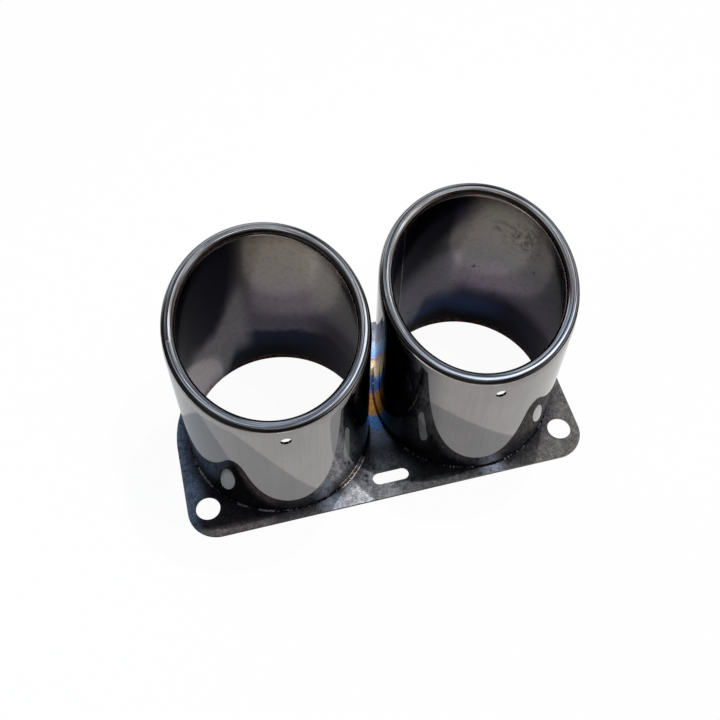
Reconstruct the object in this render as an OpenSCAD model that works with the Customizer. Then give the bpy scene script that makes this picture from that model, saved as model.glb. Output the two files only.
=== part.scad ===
// Twin exhaust tip: two slash cut tubes with rolled lips, welded side by side to one
// bolt-on plate. X runs across the pair, Y from the bolt holes to the back and Z along
// the tubes. The origin is on the plate's underside, midway between the two tubes.
// All sizes are in millimetres and all angles in degrees.

/* [Tubes] */
// Outside diameter of each tube
tube_od = 88.9; // [76:0.1:90]
// Sheet thickness of the tubes and of their rolled lips
tube_wall = 1.2; // [1:0.1:1.5]
// Distance between the axes of the two tubes
tube_spacing = 94.4; // [92:0.2:100]
// Height of the rolled lip's centre line above the plate's underside, on the tube's axis
lip_h = 93; // [70:1:130]
// Slope of the slash cut, which rises from the front to the back
slash_angle = 19; // [10:1:30]

/* [Rolled lip] */
// Outside radius of the roll
roll_r = 3; // [2.6:0.1:3.6]
// How far the roll's outer side sits inside the tube's outside
roll_inset = 0.25; // [0.2:0.05:0.5]
// Angle that the sheet is rolled through, from the tube's wall inwards
roll_turn = 255; // [225:5:285]

/* [Drain holes] */
// Diameter of the small hole in the front of each tube
drain_d = 4.8; // [3:0.1:6]
// Distance from the lip's centre line down to the drain hole
drain_drop = 6; // [6:0.5:30]
// Angle from the tube's front line round to the drain hole
drain_turn = -3; // [-20:1:20]

/* [Plate] */
// Thickness of the plate
plate_t = 1.5; // [1:0.1:4]
// Width of the plate behind the tubes
back_margin = 7.05; // [5:0.05:9]
// Radius of the two rounded front corners
corner_r = 14.4; // [12:0.1:16]
// Distance between the centres of the two corner rounds
corner_spacing = 169.4; // [160:0.2:180]
// Distance from the tube axes forward to the centres of the corner rounds
corner_y = 34.8; // [33:0.1:37]

/* [Bolt holes] */
// Diameter of the two bolt holes
bolt_d = 11.7; // [8:0.1:14]
// Distance between the two bolt holes
bolt_spacing = 178.6; // [176:0.2:180]
// Distance from the tube axes forward to the bolt holes
bolt_y = 33.8; // [32:0.1:36]

/* [Slot] */
// Length of the plain slot between the tubes, ends included
slot_l = 18; // [10:0.5:19]
// Width of the slot
slot_w = 6.4; // [4:0.2:7]
// Distance from the tube axes forward to the slot
slot_y = 38.6; // [37:0.2:42]

/* [Welds] */
// Height of each weld up the tube's wall
weld_h = 1; // [0.6:0.1:2.5]
// Width of each weld on the plate
weld_w = 0.9; // [0.6:0.1:2.4]

/* [Hidden] */
$fn = 96;

plate_color = [0.33, 0.33, 0.35];
tube_color = [0.20, 0.20, 0.22];
weld_color = [0.62, 0.60, 0.56];

tube_r = tube_od / 2;
bore_r = tube_r - tube_wall;
tube_x = tube_spacing / 2;

// The roll's centre line is the ellipse where its round cylinder meets the slash plane.
// Four arcs follow it, each a quarter turn that meets the next one without a kink.
roll_line_r = tube_r - roll_inset - roll_r;
long_half = roll_line_r / cos(slash_angle);
arc_shift = (long_half - roll_line_r) / (2 - sqrt(2));
end_arc_r = long_half - arc_shift;
side_arc_r = roll_line_r + arc_shift;

back_r = tube_r + back_margin;
corner_x = corner_spacing / 2;
front_y = -corner_y - corner_r;

// A straight side edge touches the corner round and the large round behind it. This is
// the direction from either centre to the point where the edge touches.
side_run = [tube_x - corner_x, corner_y];
side_turn = atan2(side_run.y, side_run.x) - acos((corner_r - back_r) / norm(side_run));
side_dir = [cos(side_turn), sin(side_turn)];

cut_size = 4 * tube_od;
past = 1;

// Section of the sheet where it is rolled over, centred on the roll's own centre line
module roll_section() {
    reach = 3 * roll_r;
    difference() {
        circle(roll_r);
        circle(roll_r - tube_wall);
        polygon([[0, 0], reach * [cos(roll_turn), sin(roll_turn)], [reach, -reach], [reach, 0]]);
    }
}

// A quarter of the rolled lip, which starts at an angle round the tube's axis
module roll_quarter(start, arc_r) {
    mid = start + 45;
    translate(-arc_shift * [cos(mid), sin(mid), 0] * (arc_r == side_arc_r ? 1 : -1))
        rotate([0, 0, start])
            rotate_extrude(angle = 90) translate([arc_r, 0]) roll_section();
}

module rolled_lip() {
    translate([0, 0, lip_h]) rotate([slash_angle, 0, 0]) {
        for (start = [-45, 135]) roll_quarter(start, side_arc_r);
        for (start = [45, 225]) roll_quarter(start, end_arc_r);
    }
}

module slash_cut() {
    translate([0, 0, lip_h]) rotate([slash_angle, 0, 0])
        translate([-cut_size / 2, -cut_size / 2, 0]) cube(cut_size);
}

module drain_hole() {
    drain_z = lip_h - tube_r * tan(slash_angle) - drain_drop;
    rotate([0, 0, drain_turn]) translate([0, -bore_r + past, drain_z])
        rotate([90, 0, 0]) cylinder(d = drain_d, h = tube_wall + 2 * past);
}

// One tube, from the plate's underside to its rolled lip
module tip() {
    color(tube_color) {
        difference() {
            cylinder(r = tube_r, h = 2 * lip_h);
            translate([0, 0, -past]) cylinder(r = bore_r, h = 2 * (lip_h + past));
            slash_cut();
            drain_hole();
        }
        rolled_lip();
    }
}

// The fillet that joins a tube to the top of the plate
module weld() {
    color(weld_color) translate([0, 0, plate_t]) rotate_extrude()
        polygon([
            [tube_r, 0],
            [tube_r + weld_w, 0],
            [tube_r + weld_w * 0.65, weld_h * 0.6],
            [tube_r, weld_h]
        ]);
}

module plate_outline() {
    touch_front = [corner_x, -corner_y] + corner_r * side_dir;
    touch_back = [tube_x, 0] + back_r * side_dir;
    half = [[corner_x, front_y], touch_front, touch_back, [tube_x, back_r]];
    intersection() {
        union() {
            polygon([
                for (p = half) p,
                for (i = [len(half) - 1:-1:0]) [-half[i].x, half[i].y]
            ]);
            for (side = [-1, 1]) {
                translate([side * tube_x, 0]) circle(back_r);
                translate([side * corner_x, -corner_y]) circle(corner_r);
            }
        }
        translate([-cut_size / 2, front_y]) square(cut_size);
    }
}

module slot_outline() {
    run = (slot_l - slot_w) / 2;
    for (side = [-1, 1]) translate([side * run, -slot_y]) circle(d = slot_w);
    translate([-run, -slot_y - slot_w / 2]) square([2 * run, slot_w]);
}

module mounting_plate() {
    color(plate_color) linear_extrude(plate_t) difference() {
        plate_outline();
        for (side = [-1, 1]) {
            translate([side * tube_x, 0]) circle(tube_r);
            translate([side * bolt_spacing / 2, -bolt_y]) circle(d = bolt_d);
        }
        slot_outline();
    }
}

module left_tip() { translate([-tube_x, 0, 0]) tip(); }
module right_tip() { translate([tube_x, 0, 0]) tip(); }
module left_weld() { translate([-tube_x, 0, 0]) weld(); }
module right_weld() { translate([tube_x, 0, 0]) weld(); }

mounting_plate();
left_tip();
right_tip();
left_weld();
right_weld();
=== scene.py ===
"""Looks for the twin exhaust tip: two slash cut tubes with rolled lips on one plate.

Sizes are in metres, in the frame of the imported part: X across the pair, Y from the bolt
holes to the back, Z along the tubes, with the origin on the plate's underside.
"""

import math

import bmesh
import bpy
import numpy as np
from mathutils import Matrix, Vector


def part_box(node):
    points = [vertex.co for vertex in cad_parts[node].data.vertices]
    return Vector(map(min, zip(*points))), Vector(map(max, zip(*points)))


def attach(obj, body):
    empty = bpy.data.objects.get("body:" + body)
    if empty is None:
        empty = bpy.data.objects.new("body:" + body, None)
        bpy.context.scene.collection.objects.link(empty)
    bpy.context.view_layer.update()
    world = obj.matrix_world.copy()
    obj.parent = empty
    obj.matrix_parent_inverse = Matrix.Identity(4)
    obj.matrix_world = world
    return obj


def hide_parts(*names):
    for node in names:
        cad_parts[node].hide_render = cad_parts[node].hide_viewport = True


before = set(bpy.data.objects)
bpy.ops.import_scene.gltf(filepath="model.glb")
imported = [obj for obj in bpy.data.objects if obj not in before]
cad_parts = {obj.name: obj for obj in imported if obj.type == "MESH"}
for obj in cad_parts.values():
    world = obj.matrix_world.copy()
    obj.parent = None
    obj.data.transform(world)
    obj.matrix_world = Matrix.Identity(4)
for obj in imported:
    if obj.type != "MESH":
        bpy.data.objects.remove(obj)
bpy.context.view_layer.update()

MM = 0.001

# Sizes of the tubes, plate and welds, worked out from the frame where it gives them
left_low, left_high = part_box("left_tip")
right_low, right_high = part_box("right_tip")
plate_low, plate_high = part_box("mounting_plate")
weld_low, weld_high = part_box("left_weld")
TUBE_R = (left_high.x - left_low.x) / 2
TUBE_X = (right_low.x + right_high.x) / 2
WALL = 1.2 * MM
BORE_R = TUBE_R - WALL
PLATE_T = plate_high.z - plate_low.z
WELD_W = (weld_high.x - weld_low.x) / 2 - TUBE_R
WELD_H = weld_high.z - plate_high.z

# The slash cut
LIP_H = 93 * MM
SLASH = math.radians(19)

# The roll of the lip, drawn slightly thinner than the solid one so that it stays inside it
SOLID_ROLL_R = 3 * MM
ROLL_R = SOLID_ROLL_R - 0.015 * MM
ROLL_INSET = 0.25 * MM
ROLL_LINE_R = TUBE_R - ROLL_INSET - SOLID_ROLL_R
ROLL_TURN = math.radians(255)
# Turn round the roll where the top of the tube's wall meets it
ROLL_START = math.radians(7.6)

# Drain hole in the front of each tube
DRAIN_R = 2.4 * MM
DRAIN_DROP = 6 * MM
DRAIN_TURN = math.radians(-3)

# Plate outline
BACK_R = TUBE_R + 7.05 * MM
CORNER_R = 14.4 * MM
CORNER_X = 84.7 * MM
CORNER_Y = -34.8 * MM
BOLT_R = 5.85 * MM
BOLT_X = 89.3 * MM
BOLT_Y = -33.8 * MM
SLOT_HALF = 9 * MM
SLOT_R = 3.2 * MM
SLOT_Y = -38.6 * MM

# Small bevels that catch the light
FOOT_EDGE = 0.15 * MM
PLATE_EDGE = 0.18 * MM

# How far each weld is sunk into the tube and the plate
WELD_SUNK = 0.02 * MM


# Shader nodes

class Shader:
    """The node tree of a material or world, with a short method for each kind of node it uses."""

    def __init__(self, owner, coordinates="Object"):
        owner.use_nodes = True
        self.owner = owner
        self.tree = owner.node_tree
        self.tree.nodes.clear()
        self.coords = self.add("ShaderNodeTexCoord").outputs[coordinates]
        self.x, self.y, self.z = self.split(self.coords)

    def feed(self, socket, value):
        """Links a socket to the value where that is another node's output, or else sets it."""
        if isinstance(value, bpy.types.NodeSocket):
            self.tree.links.new(value, socket)
        elif socket.type == "RGBA":
            socket.default_value = (*value, 1.0)
        else:
            socket.default_value = value

    def add(self, kind, inputs=None, **settings):
        """A new node. Its inputs are given by name or by number."""
        node = self.tree.nodes.new(kind)
        for key, value in settings.items():
            setattr(node, key, value)
        for key, value in (inputs or {}).items():
            self.feed(node.inputs[key], value)
        return node

    def math(self, operation, a, b=0.0):
        return self.add("ShaderNodeMath", {0: a, 1: b}, operation=operation).outputs[0]

    def plus(self, a, b):
        return self.math("ADD", a, b)

    def minus(self, a, b):
        return self.math("SUBTRACT", a, b)

    def larger(self, a, b):
        return self.math("MAXIMUM", a, b)

    def absolute(self, value):
        return self.math("ABSOLUTE", value)

    def times(self, product, *factors):
        for factor in factors:
            product = self.math("MULTIPLY", product, factor)
        return product

    def split(self, vector):
        node = self.add("ShaderNodeSeparateXYZ", {0: vector})
        return node.outputs[0], node.outputs[1], node.outputs[2]

    def join(self, x, y, z):
        return self.add("ShaderNodeCombineXYZ", {0: x, 1: y, 2: z}).outputs[0]

    def vector_math(self, operation, vector, other):
        """Takes the shaded point where no vector is given."""
        inputs = {0: vector or self.coords, 1: other}
        return self.add("ShaderNodeVectorMath", inputs, operation=operation)

    def stretch(self, scales, vector=None):
        """The vector with each of its coordinates multiplied by its own scale."""
        return self.vector_math("MULTIPLY", vector, scales).outputs["Vector"]

    def distance(self, place, vector=None):
        return self.vector_math("DISTANCE", vector, place).outputs["Value"]

    def facing(self, x, y, z):
        """1 where the world is seen in a direction, and less with the angle away from it."""
        direction = Vector((x, y, z)).normalized()
        return self.vector_math("DOT_PRODUCT", None, direction).outputs["Value"]

    def band(self, value, low, high, to_low=0.0, to_high=1.0, smooth=True):
        """value from low to high becomes to_low to to_high, and stays there past either end."""
        node = self.add(
            "ShaderNodeMapRange",
            {"Value": value, "From Min": low, "From Max": high, "To Min": to_low, "To Max": to_high},
            interpolation_type="SMOOTHSTEP" if smooth else "LINEAR",
        )
        return node.outputs["Result"]

    def fade(self, value, near, far, share=1.0):
        """The share up to the near value, and less beyond it, down to nothing at the far value."""
        return self.band(value, near, far, share, 0.0)

    def noise(self, scale, detail, roughness, vector=None):
        inputs = {
            "Vector": vector or self.coords,
            "Scale": scale,
            "Detail": detail,
            "Roughness": roughness,
        }
        return self.add("ShaderNodeTexNoise", inputs).outputs["Fac"]

    def mix(self, factor, a, b, blend="MIX"):
        inputs = {0: factor, 6: a, 7: b}
        return self.add("ShaderNodeMix", inputs, data_type="RGBA", blend_type=blend).outputs[2]

    def layers(self, base, *layers):
        """The base with colours laid over it in turn, each as a share and a colour."""
        for share, colour in layers:
            base = self.mix(share, base, colour)
        return base

    def dim(self, colour, level):
        """The colour multiplied by a level of brightness."""
        return self.mix(1.0, colour, self.join(level, level, level), "MULTIPLY")

    def ramp(self, value, stops):
        """Colours along a value from 0 to 1, each stop with its place and its colour."""
        node = self.add("ShaderNodeValToRGB", {"Fac": value})
        elements = node.color_ramp.elements
        while len(elements) < len(stops):
            elements.new(1.0)
        for element, (place, colour) in zip(elements, stops):
            element.position = place
            element.color = (*colour, 1.0)
        return node.outputs["Color"]

    def bump(self, height, strength):
        inputs = {"Height": height, "Strength": strength, "Distance": 0.1 * MM}
        return self.add("ShaderNodeBump", inputs).outputs["Normal"]

    def mix_shader(self, share, first, second):
        return self.add("ShaderNodeMixShader", {0: share, 1: first, 2: second}).outputs[0]

    def finish(self, surface, output="ShaderNodeOutputMaterial"):
        self.add(output, {"Surface": surface})
        return self.owner

    def metal(self, colour, roughness, normal):
        inputs = {"Base Color": colour, "Metallic": 1.0, "Roughness": roughness, "Normal": normal}
        return self.finish(self.add("ShaderNodeBsdfPrincipled", inputs).outputs["BSDF"])


def material_nodes(name):
    return Shader(bpy.data.materials.new(name))


def grey(level, warm=0.0):
    return (level * (1 + warm), level, level * (1 - warm))


def in_mm(x, y, z):
    """A place given in millimetres."""
    return Vector((x * MM, y * MM, z * MM))


# Chrome of the tubes and lips

def bare_stretch_and_glint(s, brown):
    """The bright, ragged stretch of weld at the left tube's front right: its colour and its cover.

    It is brown where its noise is lower than the value brown, and nearly white, partly bare metal and
    partly a painted glint, where it is higher."""
    spots = s.noise(700.0, 3.0, 0.6)
    # The nearly white colour is partly a painted glint.
    colour = s.mix(s.band(spots, brown, brown + 0.08), (0.17, 0.11, 0.08), (0.97, 0.96, 0.94))
    return colour, s.fade(s.distance(in_mm(-17.5, -32, 2)), 8 * MM, 11 * MM)


def tube_outside():
    """Dark mirror chrome with faint streaks along the tube, with painted shade where the tubes face each
    other and at the left tube's front right foot, and a painted glint on the bare weld stretch at the
    foot.
    """
    s = material_nodes("dark_chrome")
    streaks = s.noise(1.0, 4.0, 0.6, s.stretch((900.0, 900.0, 25.0)))
    haze = s.noise(38.0, 4.0, 0.6)
    # Painted shade: darker where the tubes face each other, and at the left tube's front right foot,
    # where it also dims the plate's reflection.
    between = s.times(s.fade(s.absolute(s.x), 9 * MM, 26 * MM, 0.92), s.band(s.y, 12 * MM, 2 * MM))
    foot = s.fade(s.distance(in_mm(-19, -35, 5)), 7 * MM, 17 * MM, 0.7)
    bare, cover = bare_stretch_and_glint(s, 0.38)
    cover = s.times(cover, s.fade(s.z, 2.4 * MM, 2.8 * MM))
    chrome = s.mix(s.band(haze, 0.35, 0.7), (0.282, 0.262, 0.250), (0.315, 0.295, 0.283))
    chrome = s.layers(
        chrome,
        (s.band(streaks, 0.42, 0.70, 0.0, 0.4), grey(0.225, 0.04)),
        (s.larger(between, foot), (0.03, 0.028, 0.036)),
        (cover, bare),
    )
    rough = s.plus(s.band(haze, 0.3, 0.75, 0.012, 0.03), s.times(cover, 0.4))
    return s.metal(chrome, rough, s.bump(streaks, 0.02))


def lip_metal():
    """The rolled lip: the same chrome with polish lines round the lip and bronze heat colour inside, a
    painted blue reflection along its front crest, and bright lines that are partly painted highlight.
    """
    s = material_nodes("lip_chrome")
    place = s.add("ShaderNodeAttribute", attribute_name="lip_place").outputs["Vector"]
    turn, roll, _ = s.split(place)
    lines = s.noise(1.0, 4.0, 0.7, s.stretch((1.6, 11.0, 1.0), place))
    flecks = s.noise(1.0, 2.0, 0.5, s.stretch((55.0, 12.0, 1.0), place))
    bands = s.noise(1.0, 2.0, 0.5, s.stretch((0.8, 5.5, 1.0), place))
    patch = s.noise(60.0, 3.0, 0.5)
    ripple = s.math("SINE", s.plus(s.times(roll, 13.0), s.times(bands, 7.0)))
    lines = s.plus(lines, s.times(ripple, 0.06))
    rim = s.larger(s.band(roll, 1.85, 2.4), s.band(roll, 0.95, 0.55, 0.0, 0.6))
    # Painted reflection: a blue tint along the front of the crest, for the bluish room that it mirrors.
    front = s.band(s.math("SINE", turn), -0.1, -0.8)
    crest = s.times(s.band(roll, 0.9, 1.3), s.band(roll, 2.3, 1.9))
    chrome = s.layers(
        (0.365, 0.362, 0.372),
        (rim, (0.36, 0.25, 0.17)),
        (s.band(patch, 0.4, 0.65, 0.0, 0.5), (0.40, 0.335, 0.28)),
        (s.times(front, crest), (0.37, 0.42, 0.52)),
        (s.fade(lines, 0.43, 0.50, 0.8), (0.10, 0.09, 0.095)),
        # The brightest lines are partly polish marks and partly painted highlight.
        (s.band(lines, 0.53, 0.60, 0.0, 0.8), (0.92, 0.93, 0.96)),
    )
    chrome = s.dim(chrome, s.band(bands, 0.40, 0.60, 0.45, 1.5, smooth=False))
    chrome = s.mix(s.band(flecks, 0.70, 0.76), chrome, (0.80, 0.79, 0.78))
    return s.metal(chrome, s.band(lines, 0.3, 0.7, 0.05, 0.09), s.bump(lines, 0.12))


# Insides of the tubes

# Heat colours from the foot up, and the places of the high painted shade, the pale painted reflection of
# the lit floor and the low painted shade. Places across the wall are measured from the tube's axis
# towards its left. The slant is how much lower the high shade and the pale reflection meet at the far
# left, and the lean is how much further right the high shade reaches high up. The pale reflection
# reaches lower from drop_from on.
LEFT_INSIDE = {
    "blue": (0.032, 0.042, 0.090),
    "slate": (0.050, 0.055, 0.105),
    "middle": (0.245, 0.21, 0.24),
    "upper": (0.25, 0.228, 0.21),
    "top": (0.28, 0.255, 0.215),
    "slate_at": 0.23,
    "purple_at": 0.27,
    "slant": 26 * MM,
    "lean": 4 * MM,
    "high_shade_from": 3 * MM,
    "high_shade_foot": 60 * MM,
    "high_shade_top": 74 * MM,
    "pale_colour": (0.57, 0.53, 0.54),
    "pale_share": (0.8, 0.8),
    "pale_from": 1 * MM,
    "pale_foot": 11 * MM,
    "pale_top": 60 * MM,
    "drop_from": 12 * MM,
    "shade_top": 50 * MM,
    "far_right_share": 0.6,
    "marked": False,
}
RIGHT_INSIDE = {
    "blue": (0.065, 0.105, 0.235),
    "slate": (0.085, 0.090, 0.165),
    "middle": (0.185, 0.178, 0.185),
    "upper": (0.22, 0.20, 0.19),
    "top": (0.235, 0.22, 0.19),
    "slate_at": 0.225,
    "purple_at": 0.285,
    "slant": 8 * MM,
    "lean": 14 * MM,
    "high_shade_from": -3 * MM,
    "high_shade_foot": 44 * MM,
    "high_shade_top": 74 * MM,
    "pale_colour": (0.54, 0.50, 0.56),
    "pale_share": (0.75, 0.65),
    "pale_from": -12 * MM,
    "pale_foot": 20 * MM,
    "pale_top": 54 * MM,
    "drop_from": 6 * MM,
    "shade_top": 38 * MM,
    "far_right_share": 0.0,
    "marked": True,
}

# Burnt spots high up in the right tube: the middle, reach and share of each patch
BURNT_PATCHES = (
    (in_mm(80.8, 27.2, 79), 15 * MM, 0.62),
    (in_mm(72, 35, 82), 8 * MM, 0.55),
    (in_mm(62, 40.6, 50), 2.2 * MM, 1.0),
    (in_mm(85.4, 20.3, 61), 2.2 * MM, 1.0),
)


def heat_tint_and_painted_shade(s, look, height):
    """Heat colours up the wall: nearly black at the foot, then blue, purple and brownish steel. The near
    black foot and the dark blue above it are painted shade, for the shadowed floor that the wall
    mirrors.
    """
    return s.ramp(s.band(height, 0.0, 110 * MM, smooth=False), [
        (0.00, (0.020, 0.014, 0.013)),
        (0.07, (0.018, 0.018, 0.026)),
        (0.17, look["blue"]),
        (look["slate_at"], look["slate"]),
        (look["purple_at"], (0.30, 0.25, 0.33)),
        (0.36, (0.27, 0.23, 0.28)),
        (0.50, look["middle"]),
        (0.70, look["upper"]),
        (0.85, look["top"]),
        (1.00, (0.19, 0.165, 0.15)),
    ])


def painted_reflection_cover(s, look, leftward, slanted):
    """How much of the wall is pale, as a painted reflection of the lit floor: a low zone, mostly on its
    left, that reaches lower there.
    """
    foot, top = look["pale_foot"], look["pale_top"]
    dropped = s.plus(s.z, s.band(leftward, look["drop_from"], look["drop_from"] + 9 * MM, 0.0, 16 * MM))
    return s.times(
        s.band(s.plus(s.z, slanted), top + 12 * MM, top),
        s.band(dropped, foot, foot + 15 * MM),
        s.band(leftward, look["pale_from"], look["pale_from"] + 9 * MM),
        s.band(leftward, 2 * MM, 9 * MM, *look["pale_share"]),
    )


def painted_shade_cover(s, look, leftward, slanted, height):
    """How much of the wall is painted shade: a high zone, mostly on its left."""
    leaning = s.plus(leftward, s.band(s.z, 66 * MM, 92 * MM, 0.0, look["lean"]))
    return s.times(
        s.band(leaning, look["high_shade_from"], look["high_shade_from"] + 11 * MM),
        s.band(s.plus(height, slanted), look["high_shade_foot"], look["high_shade_top"]),
        0.95,
    )


def burnt_cover(s):
    """A patch of burnt spots high up in the right tube, with a few single ones beside it."""
    cover = 0.0
    for middle, reach, share in BURNT_PATCHES:
        cover = s.larger(cover, s.fade(s.distance(middle), 0.2 * reach, reach, share))
    return s.times(cover, s.band(s.noise(330.0, 5.0, 0.72), 0.42, 0.58))


def seam(s, turn, centre_x):
    """A thin line straight up the wall, at a turn in degrees round the tube's axis."""
    half_width = 0.5 * MM / BORE_R
    angle = s.math("ARCTAN2", s.y, s.minus(s.x, centre_x))
    away = s.absolute(s.minus(angle, math.radians(turn)))
    return s.times(s.fade(away, 0.2 * half_width, half_width, 0.8), s.band(s.z, 8 * MM, 20 * MM))


def tube_inside(name, centre_x, look):
    """Satin steel with heat colours: brown at the lip, then purple and blue, with painted shade and a
    painted reflection for the floor that the wall mirrors: a near black foot, dark zones high on the
    left and low on the right, and a pale zone low on the left.
    """
    s = material_nodes(name)
    lines = s.noise(1.0, 3.0, 0.6, s.stretch((60.0, 60.0, 2600.0)))
    cloud = s.noise(30.0, 4.0, 0.55)
    fine = s.noise(420.0, 3.0, 0.6)
    height = s.plus(s.z, s.band(cloud, 0.25, 0.75, -5 * MM, 5 * MM))
    leftward = s.minus(centre_x, s.x)
    slanted = s.band(leftward, 5 * MM, 24 * MM, 0.0, look["slant"])
    far_right = s.times(
        s.band(leftward, -22 * MM, -30 * MM),
        s.band(s.z, 45 * MM, 60 * MM),
        look["far_right_share"],
    )
    shade = s.times(
        s.band(leftward, -20 * MM, -36 * MM, 0.0, 0.8),
        s.band(s.z, look["shade_top"], look["shade_top"] - 14 * MM),
    )
    rusty_foot = s.times(s.fade(s.z, 2 * MM, 5 * MM), s.band(fine, 0.42, 0.62))
    steel = s.layers(
        heat_tint_and_painted_shade(s, look, s.plus(height, s.band(leftward, 14 * MM, 36 * MM, 0.0, 26 * MM))),
        (far_right, (0.40, 0.37, 0.34)),
        # Painted shade low on the right, a pale painted reflection of the lit floor low on the left, and
        # painted shade high on the left.
        (shade, (0.035, 0.025, 0.045)),
        (painted_reflection_cover(s, look, leftward, slanted), look["pale_colour"]),
        (painted_shade_cover(s, look, leftward, slanted, height), (0.020, 0.018, 0.036)),
        (s.band(fine, 0.45, 0.75, 0.0, 0.25), (0.02, 0.018, 0.02)),
        (rusty_foot, (0.16, 0.085, 0.045)),
    )
    if look["marked"]:
        steel = s.layers(
            steel,
            (burnt_cover(s), (0.022, 0.015, 0.013)),
            (seam(s, 122.6, centre_x), (0.75, 0.74, 0.80)),
            (seam(s, 124.0, centre_x), (0.01, 0.01, 0.012)),
        )
    return s.metal(steel, s.band(cloud, 0.3, 0.7, 0.125, 0.165), s.bump(lines, 0.03))


# Plate and welds

def heat_colours_and_painted_light(s):
    """Stripes of heat colour between the tubes, painted bright as painted light where little light
    reaches, and how much they cover.
    """
    half_width = s.larger(
        s.band(s.y, 10 * MM, 40 * MM, 4.2 * MM, 20 * MM),
        s.band(s.y, -24 * MM, -10 * MM, 7.5 * MM, 4.2 * MM),
    )
    cover = s.fade(s.math("DIVIDE", s.absolute(s.x), half_width), 0.6, 1.0)
    cover = s.times(cover, s.band(s.y, -27 * MM, -18 * MM))
    wander = s.plus(s.y, s.band(s.noise(140.0, 4.0, 0.6), 0.3, 0.7, -2 * MM, 2 * MM))
    heat = s.ramp(s.band(wander, -26 * MM, 52 * MM, smooth=False), [
        (0.00, (0.16, 0.17, 0.20)),
        (0.17, (0.30, 0.38, 0.52)),
        (0.20, (0.16, 0.42, 0.95)),
        (0.28, (0.16, 0.42, 0.95)),
        (0.31, (0.95, 0.48, 0.12)),
        (0.45, (0.95, 0.45, 0.12)),
        (0.47, (0.12, 0.28, 0.80)),
        (0.55, (0.20, 0.36, 0.85)),
        (0.58, (0.85, 0.66, 0.38)),
        (0.68, (0.75, 0.62, 0.45)),
        (0.70, (0.60, 0.26, 0.20)),
        (0.72, (0.25, 0.50, 0.95)),
        (0.81, (0.45, 0.62, 0.90)),
        (0.84, (0.36, 0.40, 0.48)),
        (1.00, (0.22, 0.26, 0.34)),
    ])
    spots = s.band(s.noise(1100.0, 2.0, 0.6), 0.52, 0.66, 0.0, 0.7)
    return s.mix(spots, heat, (0.12, 0.10, 0.12)), cover


def plate_zones(s, steel, blotch):
    """Painted highlights along the front edge, at the right end, at the front left corner and by the
    slot, with a dark stretch at the left and the blue left end.
    """
    left = s.band(s.x, -50 * MM, -62 * MM)
    front_left = s.times(left, s.band(s.y, -43 * MM, -47 * MM, 0.0, 0.8))
    left_end = s.plus(s.x, s.fade(s.y, -45 * MM, -20 * MM, 7 * MM))
    slot_highlight = s.fade(s.distance(in_mm(-11, -40, 0)), 8 * MM, 28 * MM)
    return s.layers(
        steel,
        # Painted highlights along the front edge, at the right end, at the front left corner and by the
        # slot.
        (s.band(s.y, -43 * MM, -46.5 * MM), (0.125, 0.122, 0.128)),
        (s.band(s.x, 56 * MM, 66 * MM), (0.082, 0.080, 0.080)),
        (left, (0.030, 0.026, 0.028)),
        (front_left, (0.20, 0.18, 0.18)),
        (s.band(left_end, -84 * MM, -95 * MM), (0.165, 0.205, 0.285)),
        (s.times(slot_highlight, s.band(blotch, 0.3, 0.5)), (0.29, 0.30, 0.33)),
    )


def plate_speckle(s, grain):
    """Brightness of the plate's fine speckle, over a coarser mottling."""
    mottling = s.noise(420.0, 3.0, 0.65)
    return s.times(
        s.band(grain, 0.34, 0.68, 0.68, 1.45, smooth=False),
        s.band(mottling, 0.36, 0.64, 0.70, 1.32, smooth=False),
    )


def plate_metal():
    """Dark satin steel, blue at the left end, speckled, with painted highlights by the slot, along the
    front and at the right end, painted shade beside the tubes, heat colours between the tubes painted
    bright, a painted glint on the bare weld stretch, and a cut edge that is brown at the left and pale
    at the right."""
    s = material_nodes("plate_steel")
    cloud = s.noise(45.0, 5.0, 0.6)
    grain = s.noise(1500.0, 2.0, 0.6)
    blotch = s.noise(140.0, 4.0, 0.6)
    reach = s.distance((0, 0, 0), s.join(s.minus(s.absolute(s.x), TUBE_X), s.y, 0.0))
    bare, cover = bare_stretch_and_glint(s, 0.38)
    cover = s.times(cover, s.fade(reach, TUBE_R + 0.9 * MM, TUBE_R + 1.2 * MM))
    steel = s.mix(s.band(cloud, 0.35, 0.7), grey(0.026), (0.042, 0.042, 0.046))
    steel = s.mix(s.band(blotch, 0.5, 0.68, 0.0, 0.35), steel, (0.022, 0.022, 0.030))
    front_patches = [
        (s.fade(s.distance(in_mm(x, -47, 0)), 2 * MM, 9 * MM, 0.8), (0.27, 0.31, 0.38))
        for x in (-31, 50)
    ]
    steel = s.layers(
        plate_zones(s, steel, blotch),
        # Painted shade on the plate beside the tubes.
        (s.fade(reach, TUBE_R + 0.5 * MM, TUBE_R + 8 * MM, 0.8), (0.014, 0.013, 0.020)),
        *front_patches,
        (cover, bare),
    )
    heat, gap = heat_colours_and_painted_light(s)
    normal_z = s.split(s.add("ShaderNodeNewGeometry").outputs["Normal"])[2]
    cut_edge = s.mix(s.band(s.x, 12 * MM, 40 * MM), (0.11, 0.078, 0.055), (0.31, 0.265, 0.22))
    steel = s.layers(
        s.dim(steel, plate_speckle(s, grain)),
        (gap, heat),
        (s.fade(s.absolute(normal_z), 0.3, 0.6, 0.8), cut_edge),
    )
    rough = s.plus(s.band(cloud, 0.3, 0.7, 0.55, 0.61), s.times(gap, -0.18))
    return s.metal(steel, rough, s.bump(grain, 0.25))


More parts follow.
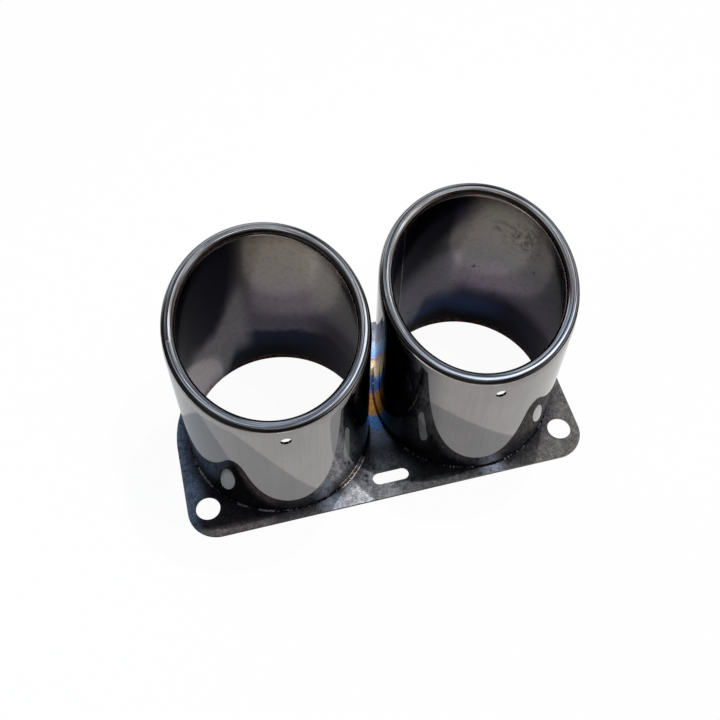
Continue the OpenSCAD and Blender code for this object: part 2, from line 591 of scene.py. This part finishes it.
def weld_metal():
    """A near black weld with small bright flecks, bare and brownish at the left tube's front right with
    a painted glint there, and heat colours painted bright between the tubes.
    """
    s = material_nodes("weld_metal")
    spots = s.noise(900.0, 3.0, 0.6)
    patch = s.noise(90.0, 3.0, 0.5)
    fleck = s.times(s.band(spots, 0.54, 0.62), s.band(patch, 0.47, 0.58, 0.1, 0.8))
    front_left = s.times(s.band(s.x, -42 * MM, -58 * MM), s.band(s.y, -4 * MM, -14 * MM))
    dashes = s.times(front_left, s.band(s.noise(260.0, 3.0, 0.6), 0.46, 0.53, 0.0, 0.75))
    heat, gap = heat_colours_and_painted_light(s)
    bare, cover = bare_stretch_and_glint(s, 0.53)
    bead = s.layers(
        (0.026, 0.025, 0.030),
        (s.larger(fleck, dashes), (0.85, 0.83, 0.78)),
        (s.times(gap, 0.7), heat),
        (cover, bare),
    )
    rough = s.plus(s.band(spots, 0.3, 0.7, 0.2, 0.4), s.times(cover, 0.3))
    return s.metal(bead, rough, s.bump(spots, 0.3))


# Studio

def floor_paper():
    """White paper. The camera sees it as an even white with a faint shadow, and the metal
    mirrors it with its real shadows, up to where the sheet ends."""
    s = material_nodes("floor_paper")
    path = s.add("ShaderNodeLightPath")
    camera_sees = path.outputs["Is Camera Ray"]
    metal_sees = path.outputs["Is Glossy Ray"]
    sheet_middle = (0, 0.35, 0)
    squeeze = (1.6, 1.0, 1.0)
    away = s.distance(sheet_middle, s.stretch(squeeze))
    past_sheet = s.times(s.band(away, 0.49, 0.65), metal_sees)
    colour = s.mix(past_sheet, grey(1.0), grey(0.05))
    paper = s.add("ShaderNodeBsdfDiffuse", {"Color": s.dim(colour, 0.8)}).outputs[0]
    white = s.add("ShaderNodeEmission", {"Color": colour, "Strength": 1.0}).outputs[0]
    share = s.plus(s.times(camera_sees, 0.95), s.times(metal_sees, 0.06))
    return s.finish(s.mix_shader(share, paper, white))


def studio_world():
    """Dark room: brighter overhead, behind the part and to its right. The camera sees it as white."""
    s = Shader(bpy.data.worlds.new("studio"), "Generated")
    # Length of the level part of the direction that is seen
    level_part = s.math("SQRT", s.larger(s.minus(1.0, s.times(s.z, s.z)), 0.0))
    level_part = s.larger(level_part, 0.001)
    overhead = s.band(s.z, 0.62, 0.92, 0.035, 0.42)
    behind = s.band(s.math("DIVIDE", s.facing(-0.26, 0.966, 0), level_part), 0.60, 0.93, 0.0, 0.58)
    right = s.band(s.x, 0.15, 0.85, 0.0, 0.32)
    bright_patch = s.band(s.facing(0.48, -0.21, 0.85), 0.88, 0.98)
    faint_patch = s.band(s.facing(0.05, -0.57, 0.82), 0.93, 0.99, 0.0, 0.25)
    strength = s.larger(s.larger(overhead, behind), right)
    strength = s.plus(s.plus(strength, bright_patch), faint_patch)
    room = s.add("ShaderNodeBackground", {"Color": (0.86, 0.92, 1.0), "Strength": strength}).outputs[0]
    white = s.add("ShaderNodeBackground", {"Color": grey(1.0), "Strength": 1.0}).outputs[0]
    camera_sees = s.add("ShaderNodeLightPath").outputs["Is Camera Ray"]
    return s.finish(s.mix_shader(camera_sees, room, white), "ShaderNodeOutputWorld")


# Meshes

def link_object(name, data):
    thing = bpy.data.objects.new(name, data)
    bpy.context.scene.collection.objects.link(thing)
    return thing


def evaluated_mesh(thing):
    """The mesh of an object with its modifiers or its curve's thickness."""
    bpy.context.view_layer.update()
    graph = bpy.context.evaluated_depsgraph_get()
    return bpy.data.meshes.new_from_object(thing.evaluated_get(graph))


def ring_mesh(name, rings):
    """A closed band from rings of points: rings[i][j] is point i of the section at place j."""
    rings = np.asarray(rings)
    count, around = rings.shape[0], rings.shape[1]
    mesh = bpy.data.meshes.new(name)
    faces = []
    for i in range(count):
        k = (i + 1) % count
        for j in range(around):
            n = (j + 1) % around
            faces.append((i * around + j, i * around + n, k * around + n, k * around + j))
    mesh.from_pydata(rings.reshape(-1, 3).tolist(), [], faces)
    mesh.update()
    return mesh


def smooth_by_angle(mesh, degrees):
    mesh.shade_smooth()
    mesh.set_sharp_from_angle(angle=math.radians(degrees))


def corner_normals(mesh):
    """The normals at the corners of the mesh's faces."""
    normals = np.zeros(len(mesh.loops) * 3)
    mesh.corner_normals.foreach_get("vector", normals)
    return normals.reshape(-1, 3)


def arc(centre, radius, start, stop, points):
    return [
        (centre[0] + radius * math.cos(turn), centre[1] + radius * math.sin(turn))
        for turn in np.linspace(start, stop, points)
    ]


def circle(centre, radius, points):
    return arc(centre, radius, 0, 2 * math.pi * (points - 1) / points, points)


# Tubes with their rolled lips

def lip_frame(turn):
    """Centre of the roll at a turn round the tube, with the outward, upward and forward directions."""
    slope = math.tan(SLASH)
    c, s = math.cos(turn), math.sin(turn)
    centre = Vector((ROLL_LINE_R * c, ROLL_LINE_R * s, LIP_H + slope * ROLL_LINE_R * s))
    outward = Vector((c, s, 0))
    forward = Vector((-s, c, slope * c)).normalized()
    return centre, outward, outward.cross(forward), forward


def tip_section(turn):
    """Points of the sheet's section at a turn round the tube, from the outer foot to the inner foot."""
    wall_points, bend_points, outer_points, inner_points = 16, 9, 60, 36
    centre, outward, upward, _ = lip_frame(turn)
    roll_end = ROLL_TURN + math.asin(math.sin(SLASH) * math.sin(turn))

    def rolled(radius, angle):
        return centre + radius * (math.cos(angle) * outward + math.sin(angle) * upward)

    def wall(wall_r, roll_r):
        """A straight wall that bends slightly inwards at the top, to meet the roll without a kink."""
        top = rolled(roll_r, ROLL_START)
        bend = wall_r - math.hypot(top.x, top.y)
        bend_h = 2 * bend / math.tan(ROLL_START)
        foot_z = top.z - bend_h
        straight = [
            wall_r * outward + Vector((0, 0, z))
            for z in np.linspace(FOOT_EDGE, foot_z, wall_points)
        ]
        bent = [
            (wall_r - bend * u * u) * outward + Vector((0, 0, foot_z + bend_h * u))
            for u in np.linspace(0.1, 0.9, bend_points)
        ]
        return straight + bent

    outer = wall(TUBE_R, ROLL_R)
    outer += [rolled(ROLL_R, angle) for angle in np.linspace(ROLL_START, roll_end, outer_points)]
    inner = wall(BORE_R, ROLL_R - WALL)
    inner += [rolled(ROLL_R - WALL, angle) for angle in np.linspace(ROLL_START, roll_end, inner_points)]
    outer_foot = (TUBE_R - FOOT_EDGE) * outward
    inner_foot = (BORE_R + FOOT_EDGE) * outward
    return [outer_foot] + outer + inner[::-1] + [inner_foot]


def tip_rings(around):
    """Rings of one tip about the origin, all the way round the section of its sheet."""
    turns = np.linspace(0, 2 * math.pi, around, endpoint=False)
    return np.array([tip_section(turn) for turn in turns]).transpose(1, 0, 2)


def drill(piece, centre, direction, radius, depth):
    """Cuts a round hole in the wall of a piece."""
    bm = bmesh.new()
    bmesh.ops.create_cone(bm, cap_ends=True, segments=48, radius1=radius, radius2=radius, depth=depth)
    cutter_mesh = bpy.data.meshes.new("cutter")
    bm.to_mesh(cutter_mesh)
    bm.free()
    cutter = link_object("cutter", cutter_mesh)
    turned = direction.to_track_quat("Z", "Y").to_matrix().to_4x4()
    cutter.matrix_world = Matrix.Translation(centre) @ turned
    cut = piece.modifiers.new("drill", "BOOLEAN")
    cut.operation = "DIFFERENCE"
    cut.solver = "EXACT"
    cut.object = cutter
    result = evaluated_mesh(piece)
    piece.modifiers.clear()
    piece.data = result
    bpy.data.objects.remove(cutter)
    bpy.data.meshes.remove(cutter_mesh)


def drill_drain(piece, centre_x):
    """Cuts the small drain hole in the front of a tube, below its lip."""
    drain_z = LIP_H - TUBE_R * math.tan(SLASH) - DRAIN_DROP
    direction = Vector((math.sin(DRAIN_TURN), -math.cos(DRAIN_TURN), 0))
    centre = Vector((centre_x, 0, drain_z)) + direction * (TUBE_R - WALL / 2)
    drill(piece, centre, direction, DRAIN_R, 4 * WALL)


def lip_place(local):
    """Turn round the tube, turn round the roll and distance from the roll's centre line."""
    turn = math.atan2(local.y, local.x)
    # A few steps find the turn where the roll's own section passes through the point
    for _ in range(4):
        centre, outward, upward, forward = lip_frame(turn)
        step = local - centre
        turn += step.dot(forward) / ROLL_LINE_R
    roll = math.atan2(step.dot(upward), step.dot(outward))
    # The angle jumps by a full turn below the roll's outward side, where there is no sheet
    if roll < -math.pi / 3:
        roll += 2 * math.pi
    return turn, roll, step.length


def share_out_materials(mesh, centre_x):
    """Stores each point's place on the lip, and gives the faces of the inside and the lip their own
    material. The outside keeps the first one."""
    inside, lip = 1, 2
    lip_from = ROLL_START - 0.01
    lip_reach = ROLL_R + 0.02 * MM
    inside_reach = 0.2 * MM
    place = mesh.attributes.new("lip_place", "FLOAT_VECTOR", "POINT")
    on_lip = []
    for vertex in mesh.vertices:
        turn, roll, away = lip_place(vertex.co - Vector((centre_x, 0, 0)))
        on_lip.append(away < lip_reach and roll > lip_from)
        place.data[vertex.index].vector = (turn, roll, 10 * centre_x)
    for face in mesh.polygons:
        reach = math.hypot(face.center.x - centre_x, face.center.y)
        if all(on_lip[v] for v in face.vertices):
            face.material_index = lip
        elif abs(reach - BORE_R) < inside_reach:
            face.material_index = inside


def true_round_normals(mesh, centre_x):
    """Gives the wall's faces the normals of a true cylinder, so that the mirror finish has no facets."""
    wall_from = BORE_R - 0.3 * MM
    smooth_by_angle(mesh, degrees=30)
    normals = corner_normals(mesh)
    for face in mesh.polygons:
        radial = Vector((face.center.x - centre_x, face.center.y, 0))
        outward = radial.normalized().dot(face.normal)
        upright = abs(face.normal.z) <= 0.02 and abs(outward) >= 0.9
        if not upright or radial.length < wall_from:
            continue
        for corner in face.loop_indices:
            point = mesh.vertices[mesh.loops[corner].vertex_index].co
            normal = Vector((point.x - centre_x, point.y, 0)).normalized()
            normals[corner] = normal * math.copysign(1, outward)
    mesh.normals_split_custom_set(normals.tolist())


def make_tip(name, centre_x, outside, inside, lip):
    mesh = ring_mesh(name, tip_rings(around=360))
    mesh.transform(Matrix.Translation((centre_x, 0, 0)))
    piece = link_object(name, mesh)
    drill_drain(piece, centre_x)
    mesh = piece.data
    mesh.name = name
    for material in (outside, inside, lip):
        mesh.materials.append(material)
    share_out_materials(mesh, centre_x)
    true_round_normals(mesh, centre_x)
    return piece


# Plate

def plate_outline():
    """The plate's outline, anticlockwise from the right front corner."""
    run = (TUBE_X - CORNER_X, -CORNER_Y)
    touch = math.atan2(run[1], run[0]) - math.acos((CORNER_R - BACK_R) / math.hypot(*run))
    right = arc((CORNER_X, CORNER_Y), CORNER_R, -math.pi / 2, touch, points=24)
    right += arc((TUBE_X, 0), BACK_R, touch, math.pi / 2, points=64)
    return right + [(-x, y) for x, y in reversed(right)]


def slot_outline():
    run = SLOT_HALF - SLOT_R
    right = arc((run, SLOT_Y), SLOT_R, -math.pi / 2, math.pi / 2, points=16)
    return right + arc((-run, SLOT_Y), SLOT_R, math.pi / 2, 3 * math.pi / 2, points=16)


def plate_curve(name):
    """A flat curve of the plate's outline and its holes, with the plate's thickness and bevels."""
    curve = bpy.data.curves.new(name, "CURVE")
    curve.dimensions = "2D"
    curve.fill_mode = "BOTH"
    loops = [plate_outline(), slot_outline()]
    for side in (-1, 1):
        loops.append(circle((side * TUBE_X, 0), TUBE_R, points=192))
        loops.append(circle((side * BOLT_X, BOLT_Y), BOLT_R, points=64))
    for points in loops:
        spline = curve.splines.new("POLY")
        spline.points.add(len(points) - 1)
        for point, (x, y) in zip(spline.points, points):
            point.co = (x, y, 0, 1)
        spline.use_cyclic_u = True
    curve.extrude = PLATE_T / 2 - PLATE_EDGE
    curve.bevel_depth = PLATE_EDGE
    curve.bevel_resolution = 2
    curve.offset = -PLATE_EDGE
    return curve


def close_seams(mesh):
    """Merges points at the same place, and turns every face outwards."""
    bm = bmesh.new()
    bm.from_mesh(mesh)
    bmesh.ops.remove_doubles(bm, verts=bm.verts, dist=0.01 * MM)
    bmesh.ops.recalc_face_normals(bm, faces=bm.faces)
    bm.to_mesh(mesh)
    bm.free()


def flat_top_normals(mesh):
    """Keeps the plate's flat faces flat, so that the small bevels' shading doesn't spread over them."""
    smooth_by_angle(mesh, degrees=35)
    normals = corner_normals(mesh)
    flat = {}
    for face in mesh.polygons:
        if abs(face.normal.z) > 0.99:
            for vertex in face.vertices:
                flat[vertex] = (0, 0, math.copysign(1, face.normal.z))
    for corner in mesh.loops:
        if corner.vertex_index in flat:
            normals[corner.index] = flat[corner.vertex_index]
    mesh.normals_split_custom_set(normals.tolist())


def make_plate(name, material):
    curve = plate_curve(name)
    outline = link_object(name + "_outline", curve)
    mesh = evaluated_mesh(outline)
    bpy.data.objects.remove(outline)
    bpy.data.curves.remove(curve)
    mesh.name = name
    mesh.transform(Matrix.Translation((0, 0, PLATE_T / 2)))
    close_seams(mesh)
    mesh.materials.clear()
    mesh.materials.append(material)
    flat_top_normals(mesh)
    return link_object(name, mesh)


# Welds

def weld_ring(turn, radius, z):
    return np.stack([radius * np.cos(turn), radius * np.sin(turn), z + 0 * turn], 1)


def make_weld(name, centre_x, material, seed):
    """A fillet bead with the fine overlapping ripples of a hand weld."""
    rng = np.random.default_rng(seed)
    points_around = 1440
    ripples = 190
    section_points = 9
    waves_around = (3, 7, 13, 29)
    turn = np.linspace(0, 2 * math.pi, points_around, endpoint=False)
    phase = (turn / (2 * math.pi) * ripples) % 1.0
    ripple = np.sqrt(np.clip(1 - (2 * phase - 1) ** 2, 0, 1))
    sway = 0
    for waves in waves_around:
        strength = rng.uniform(0.2, 1.0)
        start = rng.uniform(0, 6.28)
        sway = sway + strength * np.sin(waves * turn + start)
    sway = sway / len(waves_around)
    inner = TUBE_R - WELD_SUNK
    foot = PLATE_T - WELD_SUNK
    rings = []
    for lean in np.linspace(0, 1, section_points):
        angle = lean * math.pi / 2
        belly = math.sin(2 * angle)
        hollow = 0.62 + 0.38 * (1 - belly)
        size = 0.80 + 0.10 * sway + 0.10 * ripple * belly
        reach = WELD_W * size * math.cos(angle) * hollow
        rise = WELD_H * size * math.sin(angle) * hollow
        rings.append(weld_ring(turn, inner + np.maximum(reach, 0), foot + np.maximum(rise, 0)))
    rings.append(weld_ring(turn, inner, foot))
    mesh = ring_mesh(name, rings)
    mesh.transform(Matrix.Translation((centre_x, 0, 0)))
    smooth_by_angle(mesh, degrees=60)
    mesh.materials.append(material)
    return link_object(name, mesh)


# The object

chrome = tube_outside()
inside_left = tube_inside("satin_inside_left", -TUBE_X, LEFT_INSIDE)
inside_right = tube_inside("satin_inside_right", TUBE_X, RIGHT_INSIDE)
lip = lip_metal()
steel = plate_metal()
bead = weld_metal()

pieces = [
    (make_tip("tip_left", -TUBE_X, chrome, inside_left, lip), "left_tip", "tube"),
    (make_tip("tip_right", TUBE_X, chrome, inside_right, lip), "right_tip", "tube"),
    (make_plate("plate", steel), "mounting_plate", "plate"),
    (make_weld("weld_left", -TUBE_X, bead, 3), "left_weld", "weld"),
    (make_weld("weld_right", TUBE_X, bead, 8), "right_weld", "weld"),
]
for piece, node, slot in pieces:
    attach(piece, "root")
    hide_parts(node)


# Floor, world and lamps

FLOOR_HALF = 2.5
FLOOR_Z = -0.2 * MM
floor_mesh = bpy.data.meshes.new("floor")
floor_corners = [
    (x * FLOOR_HALF, y * FLOOR_HALF, FLOOR_Z)
    for x, y in ((-1, -1), (1, -1), (1, 1), (-1, 1))
]
floor_mesh.from_pydata(floor_corners, [], [(0, 1, 2, 3)])
floor_mesh.materials.append(floor_paper())
link_object("floor", floor_mesh)

bpy.context.scene.world = studio_world()

matt_things = bpy.data.collections.new("matt_things")
for thing in ("floor", "plate", "weld_left", "weld_right"):
    matt_things.objects.link(bpy.data.objects[thing])

LAMP_TARGET = Vector((0, 0, 0.05))
WARM = (1.0, 0.965, 0.93)
COOL = (0.75, 0.87, 1.0)
NEUTRAL = (1.0, 1.0, 1.0)


def softbox(name, place, size, power, colour, mirrored=True):
    """A lamp on the floor, the plate and the welds. The tubes only mirror the room and the floor."""
    lamp = bpy.data.lights.new(name, "AREA")
    lamp.color = colour
    lamp.shape = "RECTANGLE"
    lamp.size, lamp.size_y = size
    lamp.energy = power
    holder = link_object(name, lamp)
    holder.location = place
    holder.rotation_euler = (LAMP_TARGET - Vector(place)).to_track_quat("-Z", "Y").to_euler()
    holder.visible_glossy = mirrored
    holder.light_linking.receiver_collection = matt_things


softbox("spot_back", (0.21, 0.21, 0.88), (0.010, 0.010), 3.4, WARM)
softbox("spot_right", (0.42, -0.01, 1.30), (0.016, 0.016), 5.2, WARM)
softbox("fill_left", (-0.50, -0.10, 0.42), (0.30, 0.30), 1.1, COOL, mirrored=False)
softbox("strip_front", (0.0, -0.50, 0.55), (0.10, 0.06), 0.05, NEUTRAL, mirrored=False)


# Camera, at the place and focal length fitted to the photograph

PHOTO_SIDE = 720
FOCAL_PIXELS = 951.91
CAMERA_AT = (-68.747 * MM, -227.506 * MM, 424.807 * MM)
CAMERA_RIGHT = (0.968600, -0.248386, 0.010844)
CAMERA_UP = (0.204573, 0.821018, 0.532991)
CAMERA_BACK = (-0.141290, -0.514037, 0.846051)

lens = bpy.data.cameras.new("camera")
lens.sensor_width = 36
lens.lens = FOCAL_PIXELS / PHOTO_SIDE * lens.sensor_width
lens.clip_start = 0.01
camera = link_object("camera", lens)
camera.matrix_world = Matrix((CAMERA_RIGHT, CAMERA_UP, CAMERA_BACK)).transposed().to_4x4()
camera.location = CAMERA_AT
bpy.context.scene.camera = camera
bpy.context.scene.view_settings.view_transform = "Standard"

bpy.context.view_layer.update()
